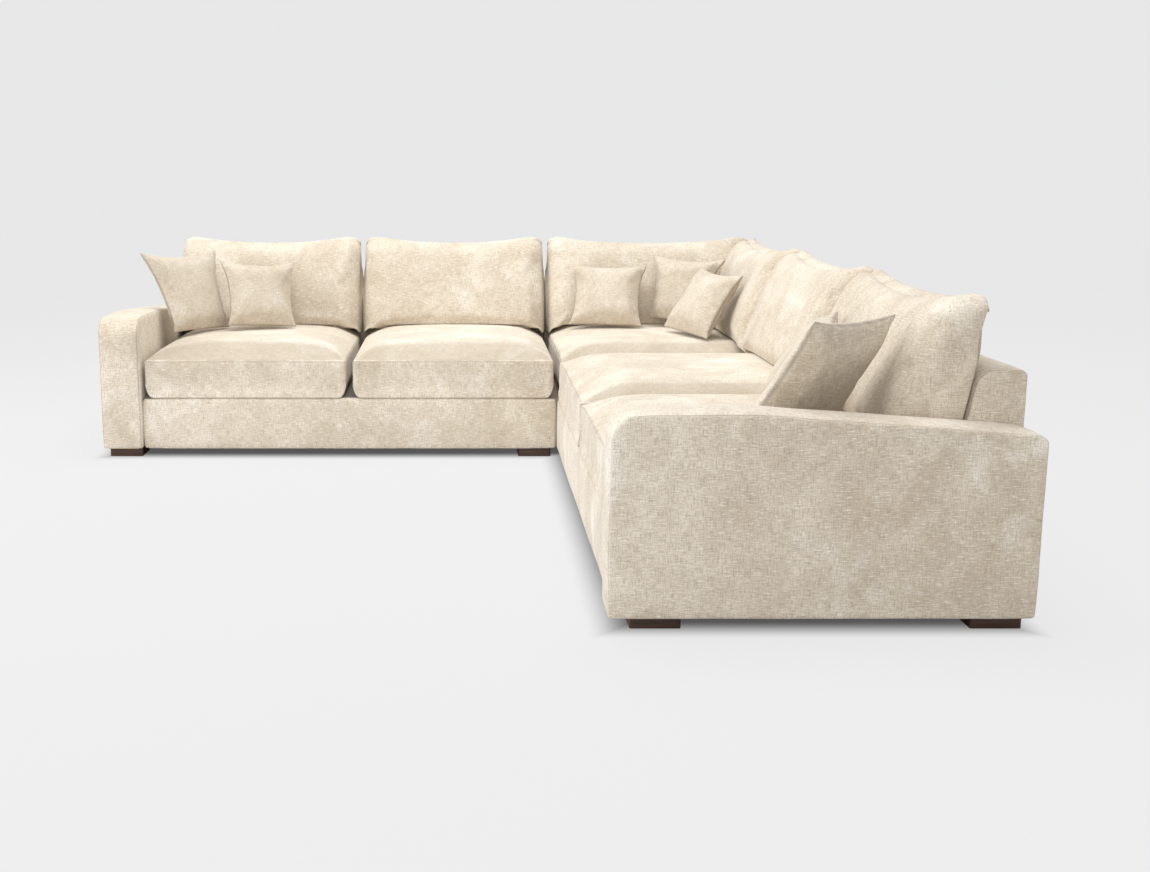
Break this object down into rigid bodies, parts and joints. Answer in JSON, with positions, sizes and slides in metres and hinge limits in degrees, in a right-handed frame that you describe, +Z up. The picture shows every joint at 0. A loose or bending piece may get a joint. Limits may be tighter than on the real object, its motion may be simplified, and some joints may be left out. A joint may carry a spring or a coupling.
{
  "type": "corner sofa",
  "caption": "L-shaped fabric corner sofa in two joined units, with low arms, loose seat, back and scatter cushions and low block feet.",
  "frame": {"origin": "middle of the footprint, on the floor", "axes": "+Z up, +Y towards the rear wall, +X to the right as seen from the front; the long run stands along +X"},
  "size_m": [3, 3.333, 0.874],
  "materials": {
    "cream_woven_upholstery": "mottled soft woven cloth",
    "dark_stained_wood": "dark stained, satin",
    "frame_timber": "sawn",
    "elastic_webbing": "ribbed woven strap",
    "dust_cover_cloth": "thin matt non-woven cloth",
    "felt_pad": "pressed felt",
    "lining_cloth": "plain woven lining",
    "zinc_plated_steel": "zinc plated"
  },
  "bodies": {
    "sofa_frame": {"connector_screws": "zinc_plated_steel", "corner_back_cover": "cream_woven_upholstery", "corner_back_frame": "frame_timber", "corner_back_webbing": "elastic_webbing", "left_arm_cover": "cream_woven_upholstery", "left_arm_frame": "frame_timber", "left_back_cover": "cream_woven_upholstery", "left_back_frame": "frame_timber", "left_back_webbing": "elastic_webbing", "left_base_frame": "frame_timber", "left_connector_hooks": "zinc_plated_steel", "left_dust_cover": "dust_cover_cloth", "left_foot_bolts": "zinc_plated_steel", "left_front_border": "cream_woven_upholstery", "left_front_inner_foot": "dark_stained_wood", "left_front_outer_foot": "dark_stained_wood", "left_joining_panel": "lining_cloth", "left_rear_inner_foot": "dark_stained_wood", "left_rear_outer_foot": "dark_stained_wood", "left_seat_deck": "felt_pad", "left_seat_webbing": "elastic_webbing", "right_arm_cover": "cream_woven_upholstery", "right_arm_frame": "frame_timber", "right_back_cover": "cream_woven_upholstery", "right_back_frame": "frame_timber", "right_back_webbing": "elastic_webbing", "right_base_frame": "frame_timber", "right_connector_sockets": "zinc_plated_steel", "right_dust_cover": "dust_cover_cloth", "right_far_inner_foot": "dark_stained_wood", "right_far_outer_foot": "dark_stained_wood", "right_foot_bolts": "zinc_plated_steel", "right_front_border": "cream_woven_upholstery", "right_joining_panel": "lining_cloth", "right_middle_inner_foot": "dark_stained_wood", "right_middle_outer_foot": "dark_stained_wood", "right_near_inner_foot": "dark_stained_wood", "right_near_outer_foot": "dark_stained_wood", "right_seat_deck": "felt_pad", "right_seat_webbing": "elastic_webbing"},
    "left_seat_cushion_outer_body": {"left_seat_cushion_outer": "cream_woven_upholstery"},
    "left_seat_cushion_inner_body": {"left_seat_cushion_inner": "cream_woven_upholstery"},
    "corner_seat_cushion_body": {"corner_seat_cushion": "cream_woven_upholstery"},
    "right_seat_cushion_rear_body": {"right_seat_cushion_rear": "cream_woven_upholstery"},
    "right_seat_cushion_front_body": {"right_seat_cushion_front": "cream_woven_upholstery"},
    "left_back_cushion_outer_body": {"left_back_cushion_outer": "cream_woven_upholstery"},
    "left_back_cushion_inner_body": {"left_back_cushion_inner": "cream_woven_upholstery"},
    "corner_back_cushion_rear_body": {"corner_back_cushion_rear": "cream_woven_upholstery"},
    "corner_back_cushion_side_body": {"corner_back_cushion_side": "cream_woven_upholstery"},
    "right_back_cushion_rear_body": {"right_back_cushion_rear": "cream_woven_upholstery"},
    "right_back_cushion_front_body": {"right_back_cushion_front": "cream_woven_upholstery"},
    "left_small_scatter_cushion_body": {"left_small_scatter_cushion": "cream_woven_upholstery"},
    "left_large_scatter_cushion_body": {"left_large_scatter_cushion": "cream_woven_upholstery"},
    "corner_small_left_scatter_cushion_body": {"corner_small_left_scatter_cushion": "cream_woven_upholstery"},
    "corner_large_scatter_cushion_body": {"corner_large_scatter_cushion": "cream_woven_upholstery"},
    "corner_small_right_scatter_cushion_body": {"corner_small_right_scatter_cushion": "cream_woven_upholstery"},
    "right_small_scatter_cushion_body": {"right_small_scatter_cushion": "cream_woven_upholstery"},
    "right_large_scatter_cushion_body": {"right_large_scatter_cushion": "cream_woven_upholstery"}
  },
  "joints": [
    {"name": "left_seat_cushion_outer_lift", "type": "slide", "parent": "sofa_frame", "child": "left_seat_cushion_outer_body", "axis": [0, 0, 1], "range_m": [0, 0.35]},
    {"name": "left_seat_cushion_inner_lift", "type": "slide", "parent": "sofa_frame", "child": "left_seat_cushion_inner_body", "axis": [0, 0, 1], "range_m": [0, 0.35]},
    {"name": "corner_seat_cushion_lift", "type": "slide", "parent": "sofa_frame", "child": "corner_seat_cushion_body", "axis": [0, 0, 1], "range_m": [0, 0.35]},
    {"name": "right_seat_cushion_rear_lift", "type": "slide", "parent": "sofa_frame", "child": "right_seat_cushion_rear_body", "axis": [0, 0, 1], "range_m": [0, 0.35]},
    {"name": "right_seat_cushion_front_lift", "type": "slide", "parent": "sofa_frame", "child": "right_seat_cushion_front_body", "axis": [0, 0, 1], "range_m": [0, 0.35]},
    {"name": "left_back_cushion_outer_lift", "type": "slide", "parent": "left_seat_cushion_outer_body", "child": "left_back_cushion_outer_body", "axis": [0, 0, 1], "range_m": [0, 0.45]},
    {"name": "left_back_cushion_inner_lift", "type": "slide", "parent": "left_seat_cushion_inner_body", "child": "left_back_cushion_inner_body", "axis": [0, 0, 1], "range_m": [0, 0.45]},
    {"name": "corner_back_cushion_rear_lift", "type": "slide", "parent": "corner_seat_cushion_body", "child": "corner_back_cushion_rear_body", "axis": [0, 0, 1], "range_m": [0, 0.45]},
    {"name": "corner_back_cushion_side_lift", "type": "slide", "parent": "corner_back_cushion_rear_body", "child": "corner_back_cushion_side_body", "axis": [0, 0, 1], "range_m": [0, 0.45]},
    {"name": "right_back_cushion_rear_lift", "type": "slide", "parent": "right_seat_cushion_rear_body", "child": "right_back_cushion_rear_body", "axis": [0, 0, 1], "range_m": [0, 0.45]},
    {"name": "right_back_cushion_front_lift", "type": "slide", "parent": "right_seat_cushion_front_body", "child": "right_back_cushion_front_body", "axis": [0, 0, 1], "range_m": [0, 0.45]},
    {"name": "left_small_scatter_cushion_lift", "type": "slide", "parent": "left_back_cushion_outer_body", "child": "left_small_scatter_cushion_body", "axis": [0, 0, 1], "range_m": [0, 0.4]},
    {"name": "left_large_scatter_cushion_lift", "type": "slide", "parent": "left_small_scatter_cushion_body", "child": "left_large_scatter_cushion_body", "axis": [-0.2762, -0.2762, 0.9206], "range_m": [0, 0.4]},
    {"name": "corner_small_left_scatter_cushion_lift", "type": "slide", "parent": "corner_back_cushion_side_body", "child": "corner_small_left_scatter_cushion_body", "axis": [0, 0, 1], "range_m": [0, 0.4]},
    {"name": "corner_large_scatter_cushion_lift", "type": "slide", "parent": "corner_small_left_scatter_cushion_body", "child": "corner_large_scatter_cushion_body", "axis": [0.1422, -0.2844, 0.9481], "range_m": [0, 0.4]},
    {"name": "corner_small_right_scatter_cushion_lift", "type": "slide", "parent": "corner_large_scatter_cushion_body", "child": "corner_small_right_scatter_cushion_body", "axis": [0, 0, 1], "range_m": [0, 0.4]},
    {"name": "right_small_scatter_cushion_lift", "type": "slide", "parent": "right_back_cushion_front_body", "child": "right_small_scatter_cushion_body", "axis": [0, 0, 1], "range_m": [0, 0.4]},
    {"name": "right_large_scatter_cushion_lift", "type": "slide", "parent": "right_small_scatter_cushion_body", "child": "right_large_scatter_cushion_body", "axis": [-0.2762, -0.2762, 0.9206], "range_m": [0, 0.4]}
  ]
}
